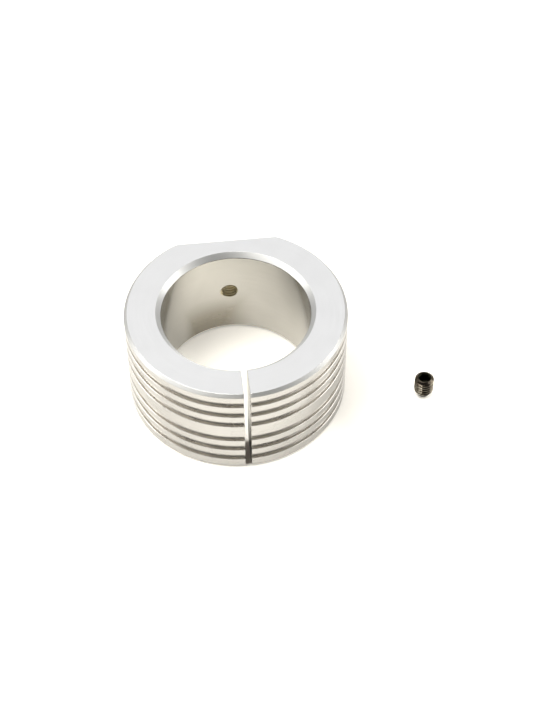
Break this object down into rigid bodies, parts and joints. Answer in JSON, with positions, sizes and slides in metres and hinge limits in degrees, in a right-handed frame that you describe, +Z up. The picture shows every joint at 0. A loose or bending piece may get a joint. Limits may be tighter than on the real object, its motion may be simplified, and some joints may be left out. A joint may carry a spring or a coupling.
{
  "type": "shaft collar",
  "caption": "One-piece split shaft collar with square grip grooves, a flat with a tapped hole opposite the slit, and its loose hex-socket set screw.",
  "frame": {"origin": "on the bore's axis, in the plane of the collar's lower face, which is the surface that both pieces stand on", "axes": "+Z up the bore's axis; +Y from the bore's axis to the flat with the tapped hole, so the slit faces -Y; +X towards the side where the set screw stands"},
  "size_m": [0.0627, 0.042, 0.0225],
  "materials": {
    "satin_aluminium": "machined, satin, with fine turning marks",
    "black_steel": "black oxide, slightly oily"
  },
  "bodies": {
    "collar": {"split_collar": "satin_aluminium"},
    "screw": {"set_screw": "black_steel"}
  },
  "joints": [
    {"name": "set_screw_lift", "type": "slide", "parent": "collar", "child": "screw", "axis": [0, 0, 1], "range_m": [0, 0.03]}
  ]
}
